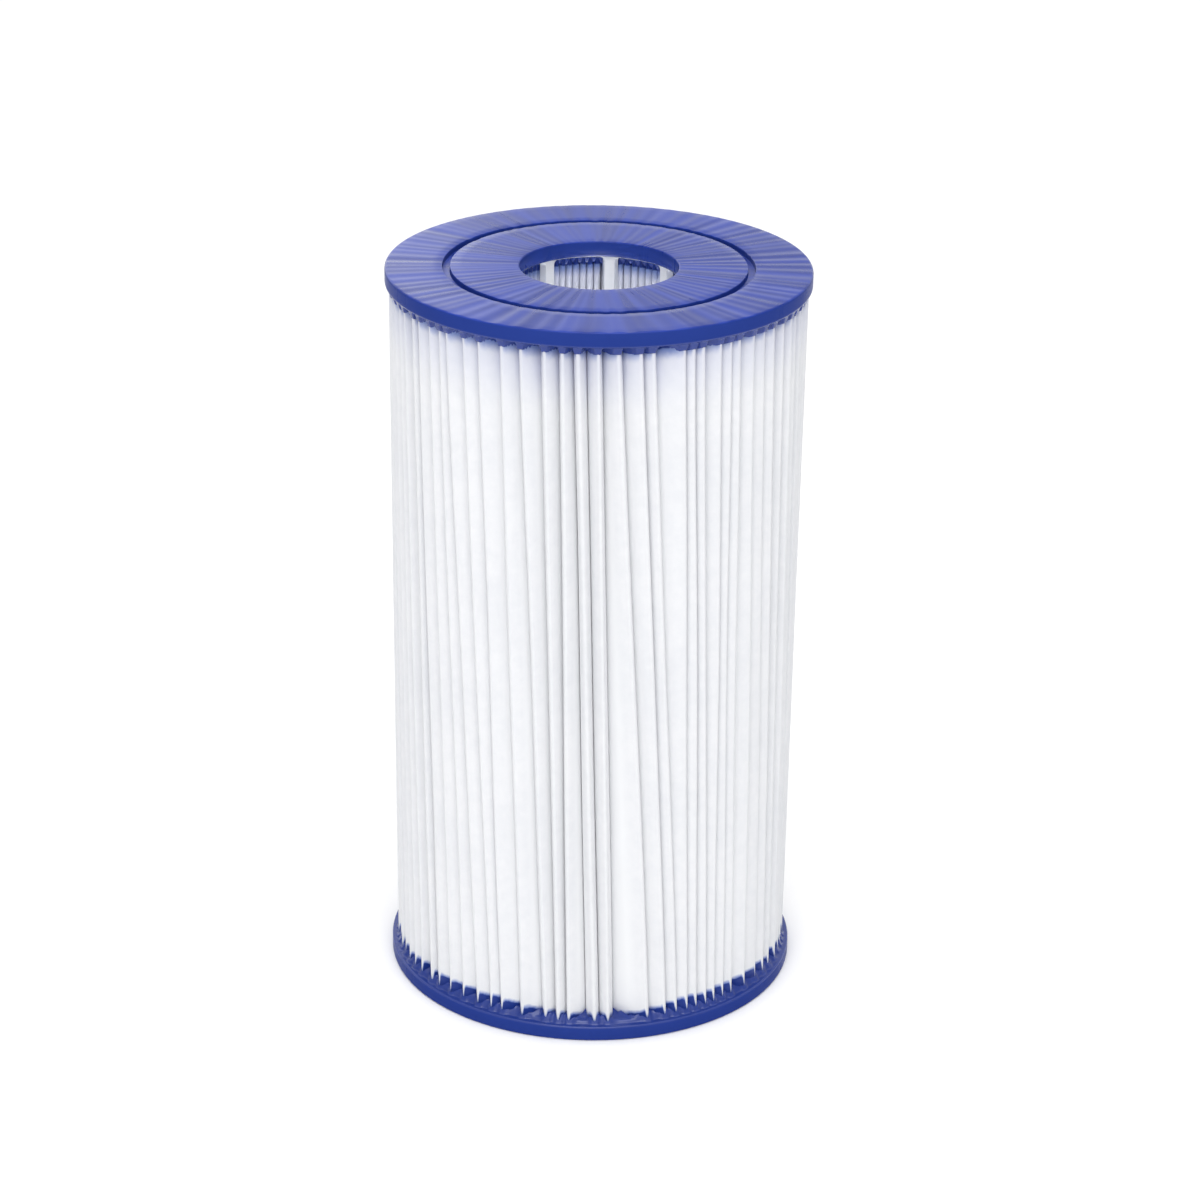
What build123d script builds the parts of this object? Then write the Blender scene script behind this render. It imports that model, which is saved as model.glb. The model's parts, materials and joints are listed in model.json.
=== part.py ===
from build123d import *
import math
import os

# Pleated filter cartridge for a pool or spa pump. Millimetres, +Z up.
# Origin: the centre of the bottom face. -Y is the front, and azimuths run from there towards +X.
# The two end caps are the same casting, poured round the ends of the pleat pack and of the core.

# ---- driving dimensions ----
overall_height = 254.0        # outer face of one cap to outer face of the other
end_depth = 2.4               # the sheet's and the core's ends lie this deep in each cap

cap_diameter = 142.0
cap_thickness = 5.3           # height of the rim
cap_face_rounding = 0.9       # rim, on the outer face
cap_inner_rounding = 0.5      # rim, on the side that faces the pleats
bore_diameter = 53.0          # through hole
bore_rounding = 0.5
groove_inner_diameter = 98.7  # ring groove moulded in the outer face
groove_width = 2.65
groove_depth = 2.0
creep_height = 3.0            # how far the resin stands up between the pleats, past the rim
creep_diameter = 135.2        # where it begins, just behind the pleat tips
creep_slope = 2.0             # width over which it climbs to its full height

pleat_count = 78
tip_diameter = 138.8          # over the pleat tips
root_diameter = 59.8          # inside the inner folds
sheet_thickness = 0.6
tip_bend = 0.5                # bend radius at the middle of the sheet, outer folds
root_bend = 0.45              # the same, inner folds
seam_azimuth = 180.5          # the pack is closed at the back
seam_trim = 1.0               # the two free ends stop this far out from the inner folds
seam_depth = 12.0             # and are bonded out to here

core_bore = 54.6
core_wall = 2.2
core_ribs = 8
core_rib_width = 4.6
core_rib_azimuth = 172.5
core_end_ring = 3.3           # height of the solid ring at each end
core_hoops = 9                # hoops between the end rings
core_hoop_height = 2.4
core_window_rounding = 1.5

# ---- worked out from them ----
buried_length = overall_height - 2 * end_depth
half_sheet = sheet_thickness / 2
pitch = 360 / pleat_count
tip_centre = tip_diameter / 2 - half_sheet - tip_bend
root_centre = root_diameter / 2 + half_sheet + root_bend


def polar(radius, azimuth):
    """Point at this radius and azimuth, in degrees from the front (-Y) towards +X."""
    angle = math.radians(azimuth)
    return Vector(radius * math.sin(angle), -radius * math.cos(angle))


# ---- pleated sheet ----
def leg_lean():
    """Angle between a pleat's straight leg and its own middle line.

    The middle of the sheet bends round a circle at each fold, and a leg is the crossing tangent
    of the circle at a tip and the circle at the root beside it.
    """
    sideways = root_centre * math.sin(math.radians(pitch / 2))
    inwards = tip_centre - root_centre * math.cos(math.radians(pitch / 2))
    reach = math.hypot(sideways, inwards)
    return math.atan2(sideways, inwards) - math.asin((tip_bend + root_bend) / reach)


def leg_normal(tip_azimuth, side):
    """Unit normal of one leg of a pleat, pointing out of the pleat. side is -1 or 1."""
    lean = leg_lean()
    return polar(side * math.cos(lean), tip_azimuth + 90) + polar(math.sin(lean), tip_azimuth)


def tip_arc(azimuth, offset):
    """Start, middle and end of a tip, on the face of the sheet at this offset from its middle."""
    centre = polar(tip_centre, azimuth)
    bend = tip_bend + offset
    directions = (leg_normal(azimuth, -1), polar(1, azimuth), leg_normal(azimuth, 1))
    return [centre + direction * bend for direction in directions]


def root_arc(azimuth, offset):
    """The same for an inner fold, which lies half a pitch from the tips on its two sides."""
    centre = polar(root_centre, azimuth)
    bend = root_bend - offset
    before = leg_normal(azimuth - pitch / 2, 1)
    after = leg_normal(azimuth + pitch / 2, -1)
    return [centre - direction * bend for direction in (before, polar(1, azimuth), after)]


def leg_point(tip_end, root_end, distance):
    """Point on a leg, this far out from its root end."""
    return root_end + (tip_end - root_end).normalized() * distance


def seam_points(offset, distance):
    """Points on the first and the last leg of the sheet, this far out from the seam's fold."""
    last_root, _, first_root = root_arc(seam_azimuth, offset)
    first_tip = tip_arc(seam_azimuth + pitch / 2, offset)[0]
    last_tip = tip_arc(seam_azimuth - pitch / 2, offset)[2]
    return leg_point(first_tip, first_root, distance), leg_point(last_tip, last_root, distance)


def sheet_side(offset):
    """One face of the folded sheet, from its first free end to its last, as lines and arcs."""
    start, finish = seam_points(offset, seam_trim)
    edges = []
    for pleat in range(pleat_count):
        tip_azimuth = seam_azimuth + (pleat + 0.5) * pitch
        arc = tip_arc(tip_azimuth, offset)
        edges += [Line(start, arc[0]), ThreePointArc(*arc)]
        start = arc[2]
        if pleat < pleat_count - 1:
            arc = root_arc(tip_azimuth + pitch / 2, offset)
            edges += [Line(start, arc[0]), ThreePointArc(*arc)]
            start = arc[2]
    edges.append(Line(start, finish))
    return edges


def pleated_media():
    """The filter sheet: one strip of nonwoven, folded into pleats and brought round."""
    outer_ends = seam_points(half_sheet, seam_trim)
    inner_ends = seam_points(-half_sheet, seam_trim)
    free_ends = [Line(outer, inner) for outer, inner in zip(outer_ends, inner_ends)]
    section = make_face(sheet_side(half_sheet) + sheet_side(-half_sheet) + free_ends)
    return Pos(0, 0, end_depth) * extrude(section, buried_length, dir=(0, 0, 1))


def seam_bead():
    """The bead of adhesive that fills the root of the groove between the sheet's two ends."""
    inner_first, inner_last = seam_points(half_sheet, seam_trim)
    outer_first, outer_last = seam_points(half_sheet, seam_depth)
    section = make_face(Polyline(inner_first, outer_first, outer_last, inner_last, close=True))
    return Pos(0, 0, end_depth) * extrude(section, buried_length, dir=(0, 0, 1))


# ---- core ----
def support_core():
    """The cage that holds the inner folds: upright ribs and hoops, with windows between them."""
    outer_radius = core_bore / 2 + core_wall
    cage = Cylinder(outer_radius, buried_length) - Cylinder(core_bore / 2, buried_length)
    middle_radius = (core_bore / 2 + outer_radius) / 2
    rows = core_hoops + 1
    open_height = buried_length - 2 * core_end_ring - core_hoops * core_hoop_height
    window_height = open_height / rows
    window_width = 2 * math.pi * middle_radius / core_ribs - core_rib_width
    window_depth = 4 * core_wall
    window = Box(window_depth, window_width, window_height)
    window = fillet(window.edges().filter_by(Axis.X), core_window_rounding)
    row_step = window_height + core_hoop_height
    for row in range(rows):
        height = (row - (rows - 1) / 2) * row_step
        ring = PolarLocations(middle_radius, core_ribs, start_angle=core_rib_azimuth - 90 + 180 / core_ribs)
        cage -= [Pos(0, 0, height) * place * window for place in ring]
    return Pos(0, 0, overall_height / 2) * cage


# ---- end caps ----
def circles(shape, diameter):
    """The circular edges of this diameter, lowest first."""
    rims = shape.edges().filter_by(GeomType.CIRCLE)
    return rims.filter_by(lambda edge: abs(edge.radius - diameter / 2) < 0.01).sort_by(Axis.Z)


def cap_casting():
    """One cap before its pockets are cut, with its outer face down on Z = 0."""
    creep_top = cap_thickness + creep_height
    groove_inner_radius = groove_inner_diameter / 2
    outline = Polyline(
        (bore_diameter / 2, 0, 0),
        (groove_inner_radius, 0, 0),
        (groove_inner_radius, 0, groove_depth),
        (groove_inner_radius + groove_width, 0, groove_depth),
        (groove_inner_radius + groove_width, 0, 0),
        (cap_diameter / 2, 0, 0),
        (cap_diameter / 2, 0, cap_thickness),
        (creep_diameter / 2, 0, cap_thickness),
        (creep_diameter / 2 - creep_slope, 0, creep_top),
        (root_diameter / 2, 0, creep_top),
        (root_diameter / 2, 0, cap_thickness),
        (bore_diameter / 2, 0, cap_thickness),
        close=True,
    )
    casting = revolve(make_face(outline), Axis.Z)
    casting = fillet(circles(casting, cap_diameter)[0], cap_face_rounding)
    casting = fillet(circles(casting, cap_diameter)[-1], cap_inner_rounding)
    return fillet(circles(casting, bore_diameter)[0], bore_rounding)


def end_caps(buried):
    """The bottom and the top cap, each with pockets where the other pieces are buried in it."""
    bottom = cap_casting()
    top = Pos(0, 0, overall_height) * Rot(180, 0, 0) * cap_casting()
    for piece in buried:
        bottom -= piece
        top -= piece
    return bottom, top


def main():
    os.makedirs("parts", exist_ok=True)
    media = pleated_media()
    bead = seam_bead()
    core = support_core()
    bottom_cap, top_cap = end_caps([media, bead, core])
    pieces = {
        "bottom_end_cap": bottom_cap,
        "top_end_cap": top_cap,
        "pleated_media": media,
        "seam_bead": bead,
        "support_core": core,
    }
    for name, piece in pieces.items():
        export_step(piece, f"parts/{name}.step")


main()
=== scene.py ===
import json
import math
import random

import bpy
import numpy as np
from mathutils import Matrix, Vector


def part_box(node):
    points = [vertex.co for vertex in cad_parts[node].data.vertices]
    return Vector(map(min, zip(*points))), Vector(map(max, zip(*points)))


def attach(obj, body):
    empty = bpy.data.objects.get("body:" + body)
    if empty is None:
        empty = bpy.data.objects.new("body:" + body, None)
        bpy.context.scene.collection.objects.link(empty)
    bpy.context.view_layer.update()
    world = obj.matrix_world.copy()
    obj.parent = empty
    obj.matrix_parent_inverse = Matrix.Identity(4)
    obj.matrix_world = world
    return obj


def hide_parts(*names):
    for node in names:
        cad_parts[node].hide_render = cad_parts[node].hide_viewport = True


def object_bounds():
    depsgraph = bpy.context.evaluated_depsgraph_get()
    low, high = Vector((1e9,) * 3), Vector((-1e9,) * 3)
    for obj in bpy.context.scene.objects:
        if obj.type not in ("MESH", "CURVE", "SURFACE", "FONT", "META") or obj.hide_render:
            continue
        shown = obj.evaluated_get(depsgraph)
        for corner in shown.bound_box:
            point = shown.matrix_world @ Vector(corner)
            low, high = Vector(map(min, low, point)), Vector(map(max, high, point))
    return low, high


# Pleated pool filter cartridge. Metres, +Z up, -Y is the front. Azimuths are in degrees from the
# front towards +X. The CAD gives the caps, the core and even pleats. This script gives the sheet
# its real, uneven folds, and casts the caps' resin round them. The core stays as the CAD has it.

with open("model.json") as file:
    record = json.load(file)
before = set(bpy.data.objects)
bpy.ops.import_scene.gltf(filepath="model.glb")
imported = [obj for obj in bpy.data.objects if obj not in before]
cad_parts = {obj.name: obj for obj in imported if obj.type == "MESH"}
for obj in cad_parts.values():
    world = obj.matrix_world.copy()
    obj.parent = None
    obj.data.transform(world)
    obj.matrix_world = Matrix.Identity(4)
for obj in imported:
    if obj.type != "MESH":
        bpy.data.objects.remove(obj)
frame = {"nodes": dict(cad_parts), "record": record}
cad_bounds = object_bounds()

# ---- sizes taken from the frame ----
cap_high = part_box("bottom_end_cap")[1]
media_low, media_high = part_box("pleated_media")
bore_mount = next(m for m in frame["record"]["mounts"] if m["name"] == "top_bore")
HEIGHT = cad_bounds[1].z
CAP_RADIUS = cap_high.x
BORE_RADIUS = bore_mount["dims"]["r_mm"] / 1000
TIP_RADIUS = media_high.x
BURIED = media_low.z                     # height of the sheet's lower end above the floor

# ---- the cap's own section ----
CAP_THICKNESS = 0.0053
FACE_ROUNDING = 0.0009
INNER_ROUNDING = 0.0005
BORE_ROUNDING = 0.0005
GROOVE_INNER = 0.04935
GROOVE_WIDTH = 0.00265
GROOVE_DEPTH = 0.002
GROOVE_ROUNDING = 0.00018
RIPPLE = 0.00016                         # depth of the face's radial ripples
RIPPLE_WIDEST = 1.3                      # a gap's width, in mean gaps, past which they don't deepen
FACE_EDGE = 0.0002                       # height over which the ripples fade at the face's edges
TIP_COLUMNS = 4                          # the cap's points across each tip
GAP_COLUMNS = 9                          # and across each gap

# ---- the sheet ----
THICKNESS = 0.0006
HALF = THICKNESS / 2
ROOT_RADIUS = 0.0299                     # inside of the inner folds
ROOT_BEND = 0.00095                      # bend of the inner folds where there is room
ROOT_GAP = 0.00003                       # half the least gap between two inner folds
OPEN_BEND = (0.00042, 0.0007)            # bend of the tips where there is room
LEAST_BEND = 0.0004
BELLY = 0.075                            # how far a leg bellies out, as a share of its length
BELLY_SHARES = (0.17, 0.42, 0.72)        # where its points are, from the tip to the crease
CREASE = (0.0005, 0.3)                   # length rounded off at a crease, and as a share of a leg
LYING = HALF + 0.00002                   # half the distance between two legs that lie together
PLEATS = 78
LEAST_GAP = 2.2                          # degrees between two tips
GROOVE_FOLD = (0.0028, 0.38)             # a groove's depth: this much, and this share of its gap
SHALLOW = 0.5                            # share of that depth which the shallowest grooves lack
WANDER = 0.35                            # degrees that a tip strays from its line
TIP_DROP = (0.0009, 0.0006)              # how far the tips stand in, at the bottom and at random
TIP_RISE = 0.0004                        # and how far out at the top
LEVELS = 24
TIP_STEPS = 6
LEG_POINTS = 7
ROOT_STEPS = 4
ROOT_START = TIP_STEPS + 1 + LEG_POINTS  # where the root begins in a pleat's row of points
ROOT_END = ROOT_START + ROOT_STEPS
SEAM_TRIM = 0.001                        # the sheet's free ends stop this far out from the folds
SEAM_DEPTH = 0.012                       # and are bonded out to here
SEAM_AZIMUTH = 180

# The pleats of the front: the tip's azimuth at the top and at the bottom of the sheet, and where
# the groove after it is deepest, as a share of the way to the next tip. The pack is twisted, so
# each tip drifts to the right on its way down.
FRONT_PLEATS = [
    (-56, -49, 0.7), (-51, -44, 0.75), (-47, -39, 0.65), (-44, -33.5, 0.75), (-38, -29, 0.7),
    (-33, -25.5, 0.75), (-26, -19.2, 0.75), (-20.6, -12.3, 0.7), (-14.1, -8.7, 0.72),
    (-9.3, -5.6, 0.64), (-5.3, 1.6, 0.38), (0, 5.4, 0.18), (5.1, 16.8, 0.2), (10.9, 22.1, 0.2),
    (14.3, 25.6, 0.14), (22.8, 29, 0.25), (25.7, 32.2, 0.3), (28.5, 35.5, 0.2), (33.8, 38.5, 0.3),
    (37.3, 42, 0.25), (40.3, 45.5, 0.3), (45.5, 51.5, 0.2), (50, 57.5, 0.3),
]

# How the resin stands round the sheet at each end: a bump on every tip, which fades over reach,
# and a creep in the grooves, which climbs over ramp. Its comb fills the pack further in.
BOTTOM_RESIN = {"bump": 0.0010, "reach": 0.0006, "creep": 0.0014, "ramp": 0.0012, "comb": 0.0040}
TOP_RESIN = {"bump": 0.0025, "reach": 0.00055, "creep": 0.0004, "ramp": 0.0020, "comb": 0.0036}

# How far it has soaked into the fabric, above the cap's inner level: on the tips, on the sides of
# the grooves (least and most), and in the comb. slope is its change with depth into a groove. Over
# the stain lies a light blue tint: the stain's pale fringe, and over the top cap also painted shade
# with blue light thrown back from the resin; the last entry is its height.
BOTTOM_STAIN = {
    "tip": 0.0011, "groove": (0.0034, 0.0066), "slope": -0.54, "comb": 0.0042, "stain_edge_and_shade": 0.0016,
}
TOP_STAIN = {
    "tip": -0.0016, "groove": (0.0005, 0.0011), "slope": 0.33, "comb": 0.0038, "stain_edge_and_shade": 0.0046,
}
STAIN_LIMITS = (0.0014, 0.0064)
SHADE = 0.024                            # height of the painted shade under the top cap: the rim's soft shadow, with blue light thrown back from the resin

# ---- colours, linear ----
DEEP_BLUE = (0.0175, 0.0385, 0.214), (0.0205, 0.0445, 0.249)
# the streaked faces' blue: partly painted sheen along the streaks
STREAK_BLUE_AND_SHEEN = (0.003, 0.023, 0.225), (0.014, 0.043, 0.330)
FIBRE_WHITE = (0.705, 0.715, 0.742), (0.753, 0.758, 0.778)
# painted light: the fabric's colour deep in the folds, lighter for the light the real fabric lets
# through
PAINTED_FOLD_LIGHT = (0.805, 0.812, 0.828)
# painted shade under the top cap, tinted by blue light thrown back from the resin
PAINTED_SHADE_BLUE = (0.25, 0.29, 0.57)
# the stain's pale fringe, and under the top cap also painted shade with blue bounce light
EDGE_STAIN_AND_SHADE_BLUE = (0.17, 0.24, 0.52)
SOAKED_BLUE = (0.003, 0.025, 0.210)
CORE_WHITE = (0.67, 0.685, 0.715), (0.73, 0.745, 0.77)
ADHESIVE = (0.74, 0.72, 0.64), (0.84, 0.83, 0.77)
FLOOR_WHITE = (0.93, 0.93, 0.93), (0.95, 0.95, 0.95)


def smooth(t):
    t = np.clip(t, 0, 1)
    return t * t * (3 - 2 * t)


def polar(radius, azimuth):
    """Points in the XY plane, as arrays whose last axis is x, y."""
    angle = np.radians(azimuth)
    return np.stack([radius * np.sin(angle), -radius * np.cos(angle)], -1)


def new_mesh(name, points, faces, material):
    """A smooth-shaded mesh object from numpy points and lists of point numbers."""
    mesh = bpy.data.meshes.new(name)
    mesh.from_pydata(points.tolist(), [], faces)
    mesh.polygons.foreach_set("use_smooth", np.ones(len(faces), bool))
    mesh.materials.append(material)
    mesh.update()
    piece = bpy.data.objects.new(name, mesh)
    bpy.context.scene.collection.objects.link(piece)
    return piece


# ---- where each fold lies ----
def uneven_gaps(count, total, least, rng):
    """Gaps that add up to total, none under least, bunched and opened as a real pack is."""
    weights = [rng.uniform(0.25, 1.2) + 0.9 * (rng.random() < 0.12) for _ in range(count)]
    weights = np.array(weights)
    return least + weights * (total - least * count) / weights.sum()


def tip_azimuths(rng):
    """Azimuth of every tip at the top and at the bottom, in order round the pack."""
    first = np.array([pleat[:2] for pleat in FRONT_PLEATS], float)
    others = PLEATS - len(first)
    span = 360 - (first[-1] - first[0])
    top_gaps = uneven_gaps(others + 1, span[0], LEAST_GAP, rng)
    fresh_gaps = uneven_gaps(others + 1, span[1], LEAST_GAP, rng)
    bottom_gaps = 0.55 * top_gaps * span[1] / span[0] + 0.45 * fresh_gaps
    gaps = np.stack([top_gaps, bottom_gaps], 1)
    return np.concatenate([first, first[-1] + np.cumsum(gaps, 0)[:-1]])


def ring_smooth(values, passes):
    """Evens out a closed ring of values with its neighbours."""
    for _ in range(passes):
        values = (np.roll(values, 1, 0) + 2 * values + np.roll(values, -1, 0)) / 4
    return values


def drawn(rng, low, high):
    """One random number for each pleat."""
    return np.array([rng.uniform(low, high) for _ in range(PLEATS)])


def gaps_after(azimuths):
    """Degrees from each fold to the next one, at every level."""
    gaps = np.roll(azimuths, -1, 1) - azimuths
    gaps[:, -1] += 360
    return gaps


def fold_layout():
    """Azimuths and sizes of the folds at every level: arrays of LEVELS by PLEATS."""
    rng = random.Random(11)
    tips = tip_azimuths(rng)
    even = np.arange(PLEATS)[:, None] * 360 / PLEATS
    following = np.roll(tips, -1, 0)
    following[-1] += 360
    roots = even + ring_smooth((tips + following) / 2 - even, 14)
    down = np.linspace(1, 0, LEVELS)[:, None]            # 1 at the bottom, 0 at the top
    ease = 0.6 * down + 0.4 * smooth(down)
    wander = drawn(rng, -1, 1)
    phase = drawn(rng, 0, 2 * math.pi)
    short = drawn(rng, 0, 1) ** 2
    open_bend = drawn(rng, *OPEN_BEND)
    tip = tips[:, 0] + (tips[:, 1] - tips[:, 0]) * ease
    tip = tip + WANDER * wander * np.sin(math.pi * down) * np.sin(2 * math.pi * down + phase)
    root = roots[:, 0] + (roots[:, 1] - roots[:, 0]) * ease
    radius = TIP_RADIUS + TIP_RISE - TIP_DROP[0] * down - TIP_DROP[1] * short
    gap, root_gap = gaps_after(tip), gaps_after(root)
    room = np.radians(np.minimum(gap, np.roll(gap, 1, 1))) * TIP_RADIUS / 4 - HALF / 2
    bend = np.minimum(open_bend, room).clip(LEAST_BEND)
    root_gap = np.minimum(root_gap, np.roll(root_gap, 1, 1))
    root_room = np.radians(root_gap) * ROOT_RADIUS / 2 - HALF - ROOT_GAP
    deepest = drawn(rng, 0.25, 0.75)
    deepest[:len(FRONT_PLEATS)] = [pleat[2] for pleat in FRONT_PLEATS]
    soak, shallow = drawn(rng, 0, 1), drawn(rng, 0, 1)
    from_front = smooth((np.abs(tips[:len(FRONT_PLEATS), 1]) - 10) / 16)
    for share in (soak, shallow):                        # both are least in the middle of the front
        share[:len(FRONT_PLEATS)] = 0.25 * share[:len(FRONT_PLEATS)] + 0.75 * from_front
    depth = GROOVE_FOLD[0] + GROOVE_FOLD[1] * np.radians(gap) * TIP_RADIUS
    depth = depth * (1 - SHALLOW * shallow)
    return {
        "tip": tip, "radius": radius, "bend": bend, "gap": gap,
        "valley": tip + deepest * gap, "floor": TIP_RADIUS - depth,
        "root": root, "root_bend": np.minimum(root_room, ROOT_BEND),
        "soak": soak, "ripple": drawn(rng, 0.35, 1.0),
    }


# ---- the sheet's section, one level at a time ----
def arc(centre, radius, first, last, steps):
    """Points round each bend, from the first direction to the last, the short way."""
    turn = (last - first + math.pi) % (2 * math.pi) - math.pi
    angle = first[:, None] + turn[:, None] * np.linspace(0, 1, steps + 1)
    ring = np.stack([np.cos(angle), np.sin(angle)], -1)
    return centre[:, None] + ring * radius[:, None, None]


def touching(centre, radius, point, side):
    """Direction, from each circle's centre, of where a line from an outside point touches it."""
    towards = point - centre
    reach = np.hypot(towards[:, 0], towards[:, 1])
    return np.arctan2(towards[:, 1], towards[:, 0]) + side * np.arccos(radius / reach)


def unit(vector):
    return vector / np.linalg.norm(vector, axis=-1, keepdims=True)


def leg(tip_end, corner, root_end):
    """Points of each leg between its tip and its root: it bellies out from the tip to where it
    meets its neighbour, turns there, and lies along it down to the root.
    """
    outer = np.linalg.norm(tip_end - corner, axis=1, keepdims=True)
    towards_tip, towards_root = unit(tip_end - corner), unit(root_end - corner)
    cut = np.minimum(CREASE[0], CREASE[1] * outer)
    start, end = corner + towards_tip * cut, corner + towards_root * cut
    middle = start / 4 + corner / 2 + end / 4
    side = np.stack([-towards_tip[:, 1], towards_tip[:, 0]], -1)
    outwards = side * np.sign((side * (start - end)).sum(1, keepdims=True))
    belly = []
    for share in BELLY_SHARES:
        rise = 4 * BELLY * share * (1 - share)
        belly.append(tip_end + (start - tip_end) * share + outwards * outer * rise)
    return np.stack(belly + [start, middle, end, (end + root_end) / 2], 1)


def section(layout, level):
    """The sheet's middle line at one level: for each pleat its tip, a leg in, a root, a leg out."""
    bend = layout["bend"][level]
    tip_centre = polar(layout["radius"][level] - HALF - bend, layout["tip"][level])
    valley = polar(layout["floor"][level], layout["valley"][level])
    root_bend = layout["root_bend"][level]
    root_centre = polar(ROOT_RADIUS + HALF + root_bend, layout["root"][level])
    along = unit(valley - root_centre)
    across = np.stack([-along[:, 1], along[:, 0]], -1)
    before, after = valley - across * LYING, valley + across * LYING
    right = touching(tip_centre, bend, before, -1)
    left = touching(tip_centre, bend, np.roll(after, 1, 0), 1)
    tips = arc(tip_centre, bend, left, right, TIP_STEPS)
    turn = np.linspace(0, math.pi, ROOT_STEPS + 1)[:, None]
    bulge = across[:, None] * np.cos(turn) + along[:, None] * np.sin(turn)
    roots = root_centre[:, None] - bulge * root_bend[:, None, None]
    leg_in = leg(tips[:, -1], before, roots[:, 0])
    leg_out = leg(np.roll(tips, -1, 0)[:, 0], after, roots[:, -1])
    return np.concatenate([tips, leg_in, roots, leg_out[:, ::-1]], 1)


def open_ring(rows, seam):
    """A ring of per-pleat rows, cut at the seam's root: its first root point, the run, its last."""
    rows = np.roll(rows, -(seam + 1), 0)
    last = rows[-1]
    run = np.concatenate([last[ROOT_END + 1:], *rows[:-1], last[:ROOT_START]])
    return last[ROOT_END], run, last[ROOT_START]


def step_towards(start, goal, distance):
    """The point this far from start on the way to goal."""
    return start + (goal - start) * distance / np.linalg.norm(goal - start)


def sheet_points(layout, seam):
    """Both faces of the sheet at every level: LEVELS by run by 2, outer face then inner."""
    outer, inner = [], []
    for level in range(LEVELS):
        first, run, last = open_ring(section(layout, level), seam)
        start = step_towards(first, run[0], SEAM_TRIM)
        end = step_towards(last, run[-1], SEAM_TRIM)
        line = np.concatenate([[start], run, [end]])
        along = unit(np.gradient(line, axis=0))
        away = np.stack([along[:, 1], -along[:, 0]], -1) * HALF
        outer.append(line + away)
        inner.append(line - away)
    return np.array(outer), np.array(inner)


def level_heights():
    """Heights of the levels, closer together near the caps."""
    t = np.linspace(-1, 1, LEVELS)
    spread = 0.75 * t + 0.25 * np.sin(t * math.pi / 2)
    return HEIGHT / 2 + spread * (HEIGHT / 2 - BURIED)


def grid_quads(rows, columns, start, flip):
    """Faces of a grid of points, stored row by row from start."""
    row, column = np.meshgrid(np.arange(rows - 1), np.arange(columns - 1), indexing="ij")
    a = (start + row * columns + column).ravel()
    quads = np.stack([a, a + 1, a + columns + 1, a + columns], 1)
    return quads[:, ::-1] if flip else quads


def strip_quads(first, second):
    """Faces between two lines of point numbers."""
    return np.stack([first[:-1], first[1:], second[1:], second[:-1]], 1)


# ---- how far resin has soaked into the sheet ----
def soaked_rows(layout, level, stain):
    """Height of the stain above the cap's inner level, for each point of each pleat's row.

    It starts low on the tip, and within half a millimetre of it reaches a line along both sides
    of the groove.
    """
    low, high = stain["groove"]
    narrow = np.clip(0.004 / (np.radians(layout["gap"][level]) * TIP_RADIUS), 0, 1)
    line = (low + (high - low) * (0.8 * layout["soak"] + 0.2 * narrow))[:, None]
    depth = TIP_RADIUS - np.linalg.norm(section(layout, level), axis=2)
    line = np.clip(line + stain["slope"] * depth, *STAIN_LIMITS)
    tips = [0.8, 0.5, 0.12, 0, 0.12, 0.5, 0.8]
    legs = [0.97] + [1] * (LEG_POINTS - 1)
    share = np.array(tips + legs + [1] * (ROOT_STEPS + 1) + legs[::-1])
    rows = stain["tip"] + (line - stain["tip"]) * share
    rows[:, ROOT_START:ROOT_END + 1] = stain["comb"]
    return rows


def soaked(layout, level, seam, stain):
    """The same, for each point of the sheet from one free end to the other."""
    first, run, last = open_ring(soaked_rows(layout, level, stain), seam)
    return np.concatenate([[first], run, [last]])


def store(mesh, name, values):
    """Keeps a number for each point of a mesh, which its material reads."""
    layer = mesh.attributes.new(name, "FLOAT", "POINT")
    layer.data.foreach_set("value", np.asarray(values, np.float32).ravel())


def make_media(layout, seam, material):
    """The folded sheet: two faces and the four edges that close them."""
    outer, inner = sheet_points(layout, seam)
    heights = level_heights()
    columns = outer.shape[1]
    levels = np.repeat(heights, columns)[:, None]
    points = np.concatenate([
        np.concatenate([outer.reshape(-1, 2), levels], 1),
        np.concatenate([inner.reshape(-1, 2), levels], 1),
    ])
    numbers = np.arange(2 * LEVELS * columns).reshape(2, LEVELS, columns)
    quads = np.concatenate([
        grid_quads(LEVELS, columns, 0, False),
        grid_quads(LEVELS, columns, LEVELS * columns, True),
        strip_quads(numbers[1, 0], numbers[0, 0]),
        strip_quads(numbers[0, -1], numbers[1, -1]),
        strip_quads(numbers[0, :, 0], numbers[1, :, 0]),
        strip_quads(numbers[1, :, -1], numbers[0, :, -1]),
    ])
    piece = new_mesh("pleated_sheet", points, quads.tolist(), material)
    low = soaked(layout, 0, seam, BOTTOM_STAIN)
    high = soaked(layout, LEVELS - 1, seam, TOP_STAIN)
    store(piece.data, "wet_low", np.tile(low, 2 * LEVELS))
    store(piece.data, "wet_high", np.tile(high, 2 * LEVELS))
    return piece


def make_seam_bead(layout, seam, material):
    """The adhesive between the sheet's two ends, where they lie side by side."""
    corners = []
    for level in range(LEVELS):
        row = section(layout, level)[seam]
        last, first = row[ROOT_START], row[ROOT_END]
        along = unit(row[ROOT_START - 1] - last)
        last, first = step_towards(last, first, HALF), step_towards(first, last, HALF)
        middle = (last + first) / 2
        near, far = along * SEAM_TRIM, along * SEAM_DEPTH
        bulge = along * THICKNESS / 2
        corners.append([
            last + near, middle + near - bulge, first + near,
            first + far, middle + far + bulge, last + far,
        ])
    corners = np.array(corners)
    sides = corners.shape[1]
    heights = np.repeat(level_heights(), sides)[:, None]
    points = np.concatenate([corners.reshape(-1, 2), heights], 1)
    numbers = np.arange(LEVELS * sides).reshape(LEVELS, sides)
    loop = np.concatenate([numbers, numbers[:, :1]], 1)
    quads = np.concatenate([strip_quads(loop[i], loop[i + 1]) for i in range(LEVELS - 1)])
    ends = [numbers[0, ::-1].tolist(), numbers[-1].tolist()]
    return new_mesh("adhesive_bead", points, quads.tolist() + ends, material)


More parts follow.
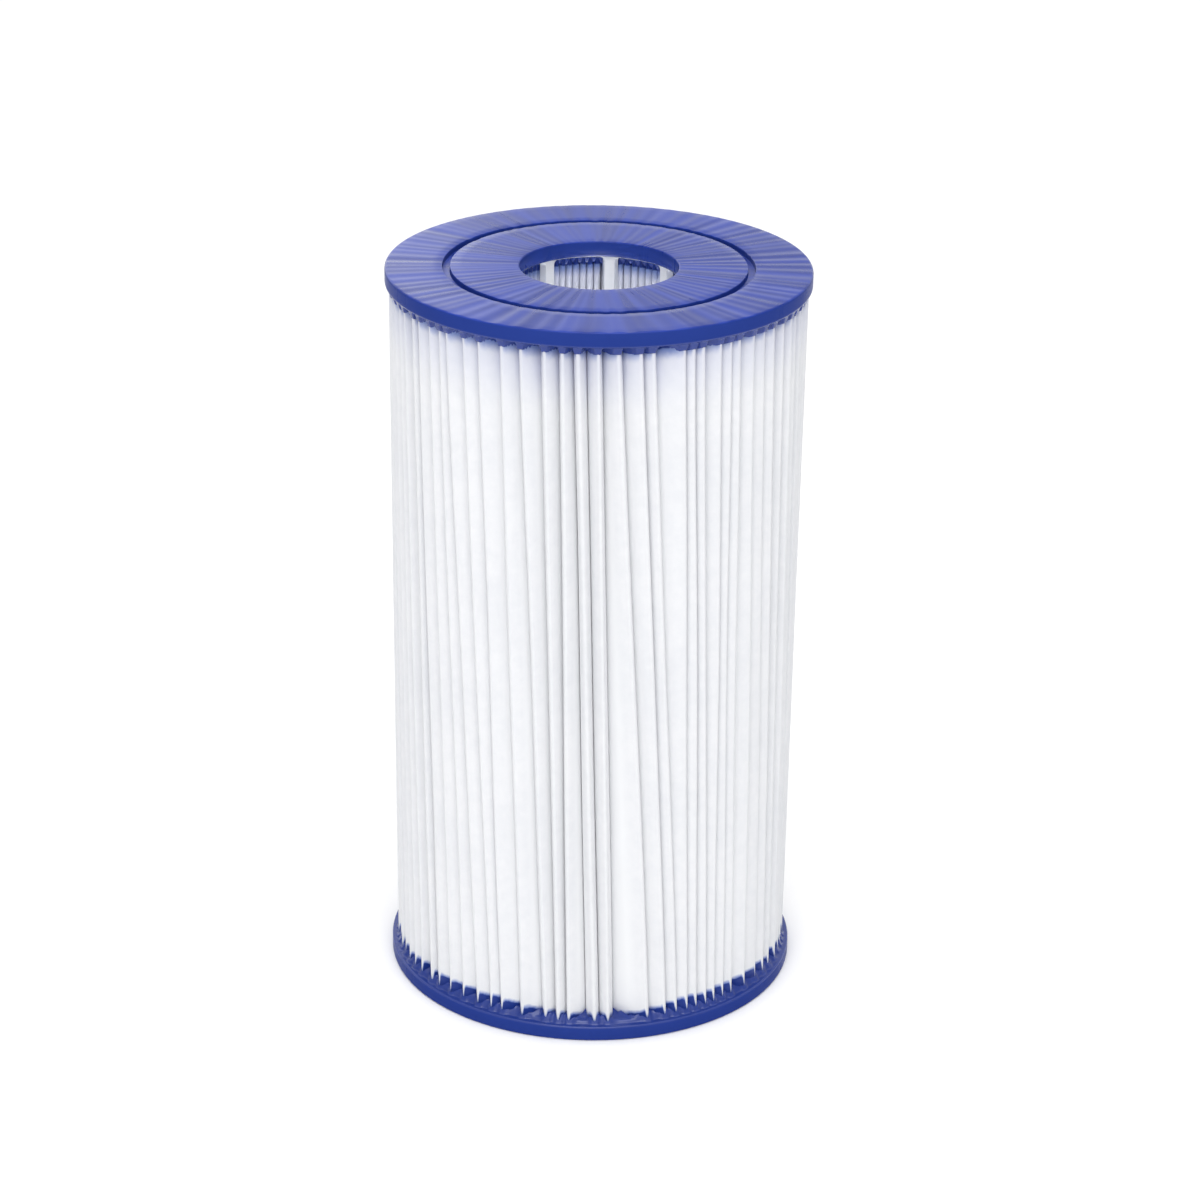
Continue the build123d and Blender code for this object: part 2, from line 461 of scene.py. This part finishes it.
# ---- the caps ----
def rounded_corner(before, corner, after, radius, steps):
    """Points round one corner of an outline, tangent to the lines before and after it."""
    before, corner, after = (np.array(p, float) for p in (before, corner, after))
    inward = (before - corner) / np.linalg.norm(before - corner)
    onward = (after - corner) / np.linalg.norm(after - corner)
    start, end = corner + inward * radius, corner + onward * radius
    turn = np.linspace(0, math.pi / 2, steps + 1)[:, None]
    middle = corner + (inward + onward) * radius
    return middle + (start - middle) * np.cos(turn) + (end - middle) * np.sin(turn)


def cap_outline():
    """The cap's section, from the foot of the bore over the outer face and the rim: r, z."""
    groove_outer = GROOVE_INNER + GROOVE_WIDTH
    rim = (CAP_RADIUS, CAP_THICKNESS)
    corners = [
        ((BORE_RADIUS, CAP_THICKNESS), (BORE_RADIUS, 0), (CAP_RADIUS, 0), BORE_ROUNDING, 4),
        ((0, 0), (GROOVE_INNER, 0), (GROOVE_INNER, 1), GROOVE_ROUNDING, 2),
        ((GROOVE_INNER, 0), (GROOVE_INNER, GROOVE_DEPTH), (1, GROOVE_DEPTH), GROOVE_ROUNDING, 2),
        ((0, GROOVE_DEPTH), (groove_outer, GROOVE_DEPTH), (groove_outer, 0), GROOVE_ROUNDING, 2),
        ((groove_outer, 1), (groove_outer, 0), (1, 0), GROOVE_ROUNDING, 2),
        ((0, 0), (CAP_RADIUS, 0), rim, FACE_ROUNDING, 5),
        ((CAP_RADIUS, 0), rim, (0, CAP_THICKNESS), INNER_ROUNDING, 3),
    ]
    runs = [rounded_corner(*corner) for corner in corners]
    outline = [np.array([[BORE_RADIUS, CAP_THICKNESS]]), runs[0]]
    for run, steps in zip(runs[1:], (5, 1, 1, 1, 4, 2)):
        last = outline[-1][-1]
        fill = last + (run[0] - last) * (np.arange(1, steps + 1) / (steps + 1))[:, None]
        outline += [fill, run]
    return np.concatenate(outline)


def leg_azimuths(layout, level, radius):
    """Azimuths of each pleat's left and right side at a radius."""
    tip, valley = layout["tip"][level], layout["valley"][level]
    outside = layout["radius"][level]
    share = np.clip((outside - radius) / (outside - layout["floor"][level]), 0, 1)
    width = np.degrees((layout["bend"][level] + HALF) / radius)
    close = np.degrees((LYING - HALF) / radius)
    right = tip + width + (valley - close - tip - width) * share
    valley_before = np.roll(valley, 1)
    valley_before[0] -= 360
    share_before = np.roll(share, 1)
    left = tip - width + (valley_before + close - tip + width) * share_before
    return left, right


def cap_azimuths(layout, level):
    """Azimuths of the cap's points: those across a tip are even, and those across a gap are
    closer together beside the tips.
    """
    left, right = leg_azimuths(layout, level, CAP_RADIUS)
    across = left[:, None] + (right - left)[:, None] * np.arange(TIP_COLUMNS) / TIP_COLUMNS
    following = np.roll(left, -1)
    following[-1] += 360
    even = np.arange(GAP_COLUMNS) / GAP_COLUMNS
    share = 0.3 * even + 0.7 * (0.5 - 0.5 * np.cos(math.pi * even))
    between = right[:, None] + (following - right)[:, None] * share
    return np.concatenate([across, between], 1).ravel()


def resin_height(layout, level, radius, azimuth, resin):
    """How far the resin stands above the cap's inner level, over a ring of azimuths."""
    left, right = leg_azimuths(layout, level, radius)
    left_all = np.concatenate([left - 360, left, left + 360])
    right_all = np.concatenate([right - 360, right, right + 360])
    after = np.searchsorted(left_all, azimuth, side="right")
    to_right = np.radians(left_all[after] - azimuth) * radius
    to_left = np.radians(azimuth - right_all[after - 1]) * radius
    outside = layout["radius"][level].mean()
    beyond = max(radius - outside, 0)
    near = np.hypot(np.clip(np.minimum(to_left, to_right), 0, None), beyond)
    bump = resin["bump"] * np.exp(-(near / resin["reach"]) ** 2)
    gap = np.maximum(to_left + to_right, 0.0003)
    narrow = np.clip(0.0032 / gap, 0.75, 1.5)
    inside = smooth((outside + 0.0004 - radius) / resin["ramp"])
    return bump + resin["creep"] * narrow * inside


RESIN_RADII = (
    0.0702, 0.06995, 0.0697, 0.06945, 0.0692, 0.0689, 0.0686, 0.0682, 0.0677, 0.067, 0.066, 0.064,
    0.06,
)
COMB_RADII = (0.05, 0.04)
COMB_EDGE = (                            # its rounded inner edge: radius, share of its height
    (0.034, 1), (0.0325, 1), (0.0312, 0.99), (0.0306, 0.93), (0.03025, 0.75), (0.03, 0.4),
    (0.0299, 0.1), (0.0297, 0),
)
LEDGE_RADII = (0.0284, 0.0273, 0.0269)   # between the comb and the bore


def cap_rings(layout, level, azimuth, resin):
    """Radii of the cap's inner side, and the height of the resin round each of them."""
    flat = np.zeros(len(azimuth))
    comb = flat + resin["comb"]
    angle = np.radians(azimuth)
    wave = 0.0002 * (np.sin(31 * angle) + np.sin(47 * angle + math.radians(40)))
    rings = [(0.07045, flat)]
    for radius in RESIN_RADII:
        rings.append((radius, resin_height(layout, level, radius, azimuth, resin)))
    rings += [(radius, comb) for radius in COMB_RADII]
    rings += [(radius, (comb + wave) * share) for radius, share in COMB_EDGE]
    return rings + [(radius, flat) for radius in LEDGE_RADII]


def face_ripple(layout, level, azimuth):
    """How far the outer face has sunk as the resin set: shallow troughs between the pleats."""
    tip = layout["tip"][level]
    tips = np.concatenate([tip - 360, tip, tip + 360])
    depth = np.tile(layout["ripple"], 3)
    after = np.searchsorted(tips, azimuth, side="right")
    share = (azimuth - tips[after - 1]) / (tips[after] - tips[after - 1])
    share = share ** (0.85 + 0.3 * depth[after - 1])
    width = np.minimum((tips[after] - tips[after - 1]) * PLEATS / 360, RIPPLE_WIDEST)
    return RIPPLE * width ** 2 * depth[after - 1] * np.sin(math.pi * share) ** 2


def make_cap(name, layout, level, resin, upside_down, material):
    """One casting: its moulded outer side, and the resin's free surface between the pleats."""
    azimuth = cap_azimuths(layout, level)
    ripple = face_ripple(layout, level, azimuth)
    rows = []
    for radius, height in cap_outline():
        on_face = smooth(1 - height / FACE_EDGE) * smooth((radius - BORE_RADIUS) / (3 * FACE_EDGE))
        rows.append((radius, height + ripple * on_face * radius / CAP_RADIUS))
    for radius, height in cap_rings(layout, level, azimuth, resin):
        rows.append((radius, CAP_THICKNESS + height))
    points = np.array([
        np.concatenate([polar(np.full(len(azimuth), radius), azimuth), height[:, None]], 1)
        for radius, height in rows
    ])
    if upside_down:
        points[:, :, 2] = HEIGHT - points[:, :, 2]
    numbers = np.arange(points.shape[0] * len(azimuth)).reshape(points.shape[:2])
    loop = np.concatenate([numbers, numbers[:, :1]], 1)
    quads = np.concatenate([strip_quads(a, b) for a, b in zip(loop, np.roll(loop, -1, 0))])
    if upside_down:
        quads = quads[:, ::-1]
    return new_mesh(name, points.reshape(-1, 3), quads.tolist(), material)


# ---- materials ----
class Nodes:
    """A material's node tree, with short calls to add and join nodes."""

    def __init__(self, name):
        self.material = bpy.data.materials.new(name)
        self.material.use_nodes = True
        self.tree = self.material.node_tree
        self.shader = self.tree.nodes["Principled BSDF"]

    def put(self, socket, value):
        if isinstance(value, bpy.types.NodeSocket):
            self.tree.links.new(value, socket)
        elif isinstance(value, tuple) and len(socket.default_value) == 4:
            socket.default_value = (*value, 1)
        else:
            socket.default_value = value

    def add(self, kind, inputs=None, **settings):
        node = self.tree.nodes.new(kind)
        for key, value in settings.items():
            setattr(node, key, value)
        for key, value in (inputs or {}).items():
            self.put(node.inputs[key], value)
        return node

    def set(self, **values):
        """Sets or links the shader's sockets, named with underscores for spaces."""
        for key, value in values.items():
            self.put(self.shader.inputs[key.replace("_", " ")], value)

    def math(self, operation, first, second=0.0):
        return self.add("ShaderNodeMath", {0: first, 1: second}, operation=operation).outputs[0]

    def total(self, *values):
        result = values[0]
        for value in values[1:]:
            result = self.math("ADD", result, value)
        return result

    def between(self, value, low, high):
        """0 below low, 1 above high, and smooth in between."""
        node = self.add("ShaderNodeMapRange", {"Value": value, "From Min": low, "From Max": high},
                        interpolation_type="SMOOTHSTEP")
        return node.outputs["Result"]

    def mix(self, factor, first, second):
        node = self.add("ShaderNodeMix", {0: factor, 6: first, 7: second}, data_type="RGBA")
        return node.outputs[2]

    def noise(self, vector, scale, detail=2.0, roughness=0.5):
        node = self.add("ShaderNodeTexNoise", {
            "Vector": vector, "Scale": scale, "Detail": detail, "Roughness": roughness,
        })
        return node.outputs["Fac"]

    def point(self):
        """Object coordinates, which are the frame's own."""
        return self.add("ShaderNodeTexCoord").outputs["Object"]

    def height_and_radius(self, point):
        """The height of a point, and its radius from the axis."""
        x, y, height = self.add("ShaderNodeSeparateXYZ", {0: point}).outputs
        squares = self.total(self.math("MULTIPLY", x, x), self.math("MULTIPLY", y, y))
        return height, self.math("SQRT", squares)

    def rays(self, point, radius, drift):
        """A vector that changes round the axis and, far more slowly, along each radius."""
        x, y, _ = self.add("ShaderNodeSeparateXYZ", {0: point}).outputs
        return self.add("ShaderNodeCombineXYZ", {
            0: self.math("DIVIDE", x, radius), 1: self.math("DIVIDE", y, radius),
            2: self.math("MULTIPLY", radius, drift),
        }).outputs[0]

    def attribute(self, name):
        return self.add("ShaderNodeAttribute", attribute_name=name).outputs["Fac"]

    def bump(self, height, strength, distance):
        node = self.add("ShaderNodeBump", {
            "Height": height, "Strength": strength, "Distance": distance,
        })
        return node.outputs["Normal"]


def cap_material():
    """Cast polyurethane: deep blue and satin, with fine radial streaks on the outer faces and the
    groove's floor. Their bluer colour is partly painted sheen, standing in for gloss along the
    streaks. It is glossier on the resin's free surface between the pleats.
    """
    nodes = Nodes("cast_blue_resin")
    point = nodes.point()
    height, radius = nodes.height_and_radius(point)
    from_middle = nodes.math("ABSOLUTE", nodes.math("SUBTRACT", height, HEIGHT / 2))
    on_face = nodes.between(from_middle, HEIGHT / 2 - 0.0006, HEIGHT / 2 - 0.0002)
    groove_middle = GROOVE_INNER + GROOVE_WIDTH / 2
    from_groove = nodes.math("ABSOLUTE", nodes.math("SUBTRACT", radius, groove_middle))
    in_groove = nodes.between(from_groove, GROOVE_WIDTH / 2 - 0.0001, GROOVE_WIDTH / 2 - 0.0002)
    on_face = nodes.math("MAXIMUM", on_face, in_groove)
    inner_level = HEIGHT / 2 - CAP_THICKNESS
    free_side = nodes.between(from_middle, inner_level + INNER_ROUNDING * 1.5,
                              inner_level + INNER_ROUNDING / 2)

    rays = nodes.rays(point, radius, 1.5)
    broad = nodes.noise(rays, 4.0, 0.0)
    fine = nodes.noise(rays, 13.0, 1.0, 0.3)
    streaks = nodes.total(nodes.math("MULTIPLY", broad, 0.4), nodes.math("MULTIPLY", fine, 0.6))
    streaks = nodes.between(streaks, 0.36, 0.64)
    cloud = nodes.noise(point, 45.0, 3.0, 0.6)
    deep = nodes.mix(cloud, *DEEP_BLUE)
    # partly painted sheen: the streaks' bluer colour stands in for gloss along them
    streak_blue_and_sheen = nodes.mix(streaks, *STREAK_BLUE_AND_SHEEN)
    nodes.set(Base_Color=nodes.mix(on_face, deep, streak_blue_and_sheen))

    dull = nodes.math("MULTIPLY", nodes.total(streaks, cloud), 0.06)
    dull = nodes.math("SUBTRACT", dull, nodes.math("MULTIPLY", free_side, 0.08))
    nodes.set(Roughness=nodes.total(dull, 0.24))
    face_shine = nodes.math("MULTIPLY", on_face, 0.25)
    free_shine = nodes.math("MULTIPLY", free_side, 0.4)
    nodes.set(Specular_IOR_Level=nodes.total(face_shine, free_shine, 0.02))
    nodes.set(Normal=nodes.bump(nodes.noise(point, 500.0, 2.0, 0.5), 0.02, 0.0002))
    return nodes.material


def media_material():
    """Spun-bonded polyester: matt white with a fibrous mottle, stained blue where resin wets it.

    Its colour is lighter deep in the folds: painted light, standing in for the light that the real
    fabric lets through there.
    """
    nodes = Nodes("spunbond_polyester")
    point = nodes.point()
    height, radius = nodes.height_and_radius(point)
    ragged = nodes.math("SUBTRACT", nodes.noise(point, 420.0, 2.0, 0.6), 0.5)
    ragged = nodes.math("MULTIPLY", ragged, 0.0014)
    above_low = nodes.total(height, -CAP_THICKNESS, ragged)
    below_high = nodes.math("SUBTRACT", nodes.total(ragged, HEIGHT - CAP_THICKNESS), height)
    over_low = nodes.math("SUBTRACT", nodes.attribute("wet_low"), above_low)
    over_high = nodes.math("SUBTRACT", nodes.attribute("wet_high"), below_high)
    soaked = nodes.math("MAXIMUM", nodes.between(over_low, -0.0003, 0.0003),
                        nodes.between(over_high, -0.0003, 0.0003))
    # light blue tint over the stain: its fringe, and under the top cap also painted shade
    tint_and_shade_mask = nodes.math("MAXIMUM", nodes.between(over_low, -BOTTOM_STAIN["stain_edge_and_shade"], 0.0),
                        nodes.between(over_high, -TOP_STAIN["stain_edge_and_shade"], 0.0))

    web = nodes.noise(point, 260.0, 4.0, 0.65)
    cloud = nodes.noise(point, 38.0, 2.0, 0.5)
    mottle = nodes.total(nodes.math("MULTIPLY", web, 0.6), nodes.math("MULTIPLY", cloud, 0.4))
    white = nodes.mix(nodes.between(mottle, 0.3, 0.7), *FIBRE_WHITE)
    # painted light: the colour turns lighter deep in the folds, in place of light let through the
    # fabric
    in_fold = nodes.between(radius, TIP_RADIUS - 0.0012, TIP_RADIUS - 0.0035)
    white = nodes.mix(in_fold, white, PAINTED_FOLD_LIGHT)
    # painted shade under the top cap: a soft shadow with blue bounce light, stronger deep in the
    # folds
    shade = nodes.total(nodes.math("MULTIPLY", in_fold, 0.14), 0.24)
    shade = nodes.math("MULTIPLY", nodes.between(over_high, -SHADE, 0.0), shade)
    white = nodes.mix(shade, white, PAINTED_SHADE_BLUE)
    stain_edge_and_shade = nodes.mix(tint_and_shade_mask, white, EDGE_STAIN_AND_SHADE_BLUE)
    nodes.set(Base_Color=nodes.mix(soaked, stain_edge_and_shade, SOAKED_BLUE))

    nodes.set(Roughness=nodes.math("SUBTRACT", 0.9, nodes.math("MULTIPLY", soaked, 0.5)))
    nodes.set(Specular_IOR_Level=0.25, Sheen_Weight=0.1, Sheen_Roughness=0.5)
    nodes.set(Normal=nodes.bump(web, 0.2, 0.0003))
    return nodes.material


def core_material():
    """Moulded polypropylene: natural white, a little waxy."""
    nodes = Nodes("white_polypropylene")
    point = nodes.point()
    nodes.set(Base_Color=nodes.mix(nodes.noise(point, 60.0, 3.0, 0.6), *CORE_WHITE))
    grain = nodes.noise(point, 1400.0, 2.0, 0.5)
    nodes.set(Roughness=nodes.total(nodes.math("MULTIPLY", grain, 0.2), 0.33))
    nodes.set(Normal=nodes.bump(grain, 0.15, 0.0002))
    return nodes.material


def bead_material():
    """Set hot-melt adhesive: off-white and lumpy."""
    nodes = Nodes("hot_melt_adhesive")
    lumps = nodes.noise(nodes.point(), 300.0, 3.0, 0.6)
    nodes.set(Base_Color=nodes.mix(lumps, *ADHESIVE))
    nodes.set(Roughness=nodes.total(nodes.math("MULTIPLY", lumps, 0.25), 0.25))
    nodes.set(Normal=nodes.bump(lumps, 0.5, 0.0006))
    return nodes.material


def floor_material():
    nodes = Nodes("studio_floor")
    nodes.set(Base_Color=nodes.mix(nodes.noise(nodes.point(), 3.0, 2.0, 0.5), *FLOOR_WHITE))
    nodes.set(Roughness=0.9, Specular_IOR_Level=0.1)
    return nodes.material


# ---- studio ----
CAMERA_AWAY = 7.476 * 2 * CAP_RADIUS      # from the cartridge's axis
CAMERA_UP = 4.110 * 2 * CAP_RADIUS
CAMERA_TURN = (-0.10, 22.98, 0.80)       # degrees: to the right, down, and rolled
CAMERA_LENS = 100.2
FLOOR_SIDE = 6.0

# The cyclorama's brightness over its height, and its strength in the middle and at the sides, over
# how far to the left or right it is.
SKY_STOPS = ((0.0, 1.0), (0.18, 1.0), (0.38, 0.42), (0.62, 0.85), (1.0, 1.3))
SKY_SIDES = {"From Min": 0.3, "From Max": 0.95, "To Min": 1.35, "To Max": 0.6}

# Soft boxes: place, aim, size and power. The back card is seen only in the gloss of the top face's
# left side. The core's glow stands in for the light that the real fabric lets through.
SOFT_BOXES = {
    "key_box": ((0.0, -0.75, 1.75), (0, 0, 0.15), (1.0, 1.0), 10.3),
    "front_box": ((-0.35, -1.8, 0.8), (0, 0, 0.12), (0.9, 0.9), 3),
    "back_card": ((-0.22, 0.45, 0.41), (-0.05, 0, 0.254), (0.34, 0.26), 0.23),
    "core_glow": ((0, 0, 0.12), (0, 0, 1), (0.03, 0.03), 0.105),
}


def make_camera():
    """Stands in front and above, tipped down at the object, with a long lens."""
    camera = bpy.data.cameras.new("camera")
    camera.sensor_width = 36.0
    camera.lens = CAMERA_LENS
    camera.clip_start = 0.05
    piece = bpy.data.objects.new("camera", camera)
    bpy.context.scene.collection.objects.link(piece)
    pan, tip_down, roll = (math.radians(angle) for angle in CAMERA_TURN)
    turn = Matrix.Rotation(pan, 4, "Z") @ Matrix.Rotation(math.pi / 2 - tip_down, 4, "X")
    turn = turn @ Matrix.Rotation(roll, 4, "Z")
    piece.matrix_world = Matrix.Translation((0, -CAMERA_AWAY, CAMERA_UP)) @ turn
    bpy.context.scene.camera = piece


def soft_box(name, place, aim, size, power):
    """An area light that shines from place to aim, and isn't itself in the picture."""
    light = bpy.data.lights.new(name, "AREA")
    light.shape = "RECTANGLE"
    light.size, light.size_y = size
    light.energy = power
    piece = bpy.data.objects.new(name, light)
    piece.visible_camera = False
    bpy.context.scene.collection.objects.link(piece)
    away = Vector(place) - Vector(aim)
    turn = away.to_track_quat("Z", "Y").to_matrix().to_4x4()
    piece.matrix_world = Matrix.Translation(place) @ turn


def make_world():
    """A white cyclorama: bright low down, dimmer above eye level, and bright again overhead. It
    is darker on the left and right, where flags stand.
    """
    world = bpy.data.worlds.new("studio")
    world.use_nodes = True
    tree = world.node_tree
    direction = tree.nodes.new("ShaderNodeTexCoord").outputs["Generated"]
    split = tree.nodes.new("ShaderNodeSeparateXYZ")
    tree.links.new(direction, split.inputs[0])
    ramp = tree.nodes.new("ShaderNodeValToRGB")
    ramp.color_ramp.interpolation = "B_SPLINE"
    tree.links.new(split.outputs["Z"], ramp.inputs[0])
    while len(ramp.color_ramp.elements) < len(SKY_STOPS):
        ramp.color_ramp.elements.new(0.5)
    for element, (height, bright) in zip(ramp.color_ramp.elements, SKY_STOPS):
        element.position = height
        element.color = (bright, bright, bright, 1)
    sideways = tree.nodes.new("ShaderNodeMath")
    sideways.operation = "ABSOLUTE"
    tree.links.new(split.outputs["X"], sideways.inputs[0])
    fall = tree.nodes.new("ShaderNodeMapRange")
    fall.interpolation_type = "SMOOTHSTEP"
    tree.links.new(sideways.outputs[0], fall.inputs["Value"])
    for key, value in SKY_SIDES.items():
        fall.inputs[key].default_value = value
    background = tree.nodes["Background"]
    tree.links.new(ramp.outputs["Color"], background.inputs["Color"])
    tree.links.new(fall.outputs["Result"], background.inputs["Strength"])
    bpy.context.scene.world = world


def make_studio():
    make_world()
    bpy.context.scene.view_settings.view_transform = "Standard"
    for name, box in SOFT_BOXES.items():
        soft_box(name, *box)
    corners = np.array([[-1, -1, 0], [1, -1, 0], [1, 1, 0], [-1, 1, 0]]) * FLOOR_SIDE / 2
    new_mesh("floor", corners, [[0, 1, 2, 3]], floor_material())


def place(piece, node, slot):
    """Attaches a piece to the root body and hides the CAD node that it stands for. slot is not
    used.
    """
    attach(piece, "root")
    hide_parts(node)


def main():
    make_camera()
    make_studio()
    layout = fold_layout()
    middle_roots = layout["root"][LEVELS // 2] % 360
    seam = int(np.argmin(np.abs(middle_roots - SEAM_AZIMUTH)))

    media = make_media(layout, seam, media_material())
    place(media, "pleated_media", "filter_media")
    place(make_seam_bead(layout, seam, bead_material()), "seam_bead", "adhesive")

    resin = cap_material()
    bottom = make_cap("bottom_cap", layout, 0, BOTTOM_RESIN, False, resin)
    place(bottom, "bottom_end_cap", "end_cap")
    top = make_cap("top_cap", layout, LEVELS - 1, TOP_RESIN, True, resin)
    place(top, "top_end_cap", "end_cap")

    core = frame["nodes"]["support_core"]
    core.data.materials.clear()
    core.data.materials.append(core_material())


main()
